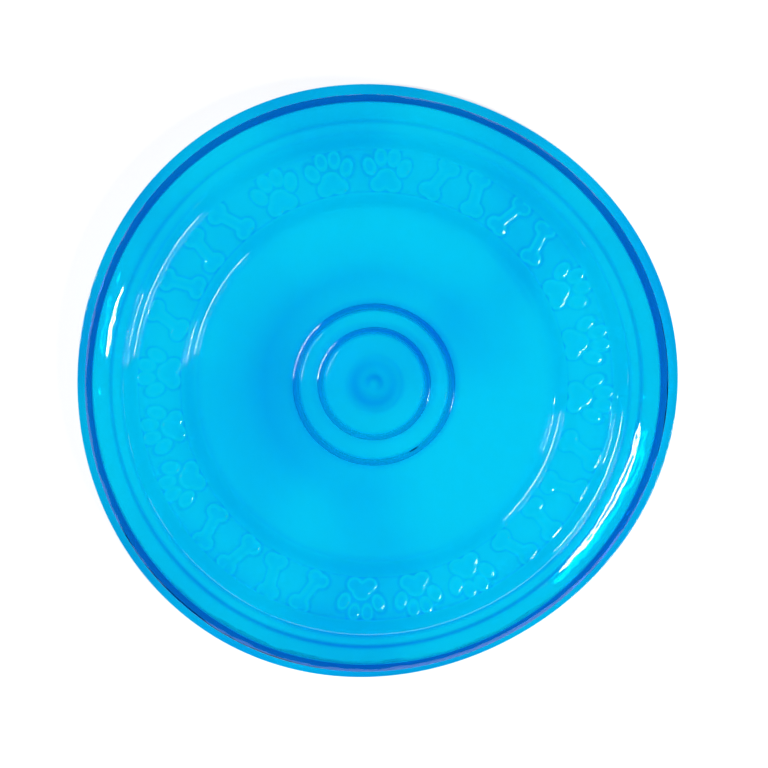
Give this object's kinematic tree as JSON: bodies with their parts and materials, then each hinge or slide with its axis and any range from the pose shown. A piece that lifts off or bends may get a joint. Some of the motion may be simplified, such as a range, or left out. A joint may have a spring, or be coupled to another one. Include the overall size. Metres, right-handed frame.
{
  "type": "flying disc",
  "caption": "Soft clear blue flying disc for dogs, moulded in one piece with a stepped hollow at its centre, a band of raised paws and bones between two ridges, and a deep rim with a flat lip.",
  "frame": {"origin": "on the disc's axis, in the plane that the rim stands on", "axes": "+Z along the disc's axis, from the open underside towards the plate's upper side; +X through the middle paw of one group of three"},
  "size_m": [0.22, 0.22, 0.0233],
  "materials": {
    "clear_blue_rubber": "clear, glossy, soft thermoplastic rubber tinted blue"
  },
  "bodies": {
    "root": {"disc": "clear_blue_rubber"}
  },
  "joints": []
}
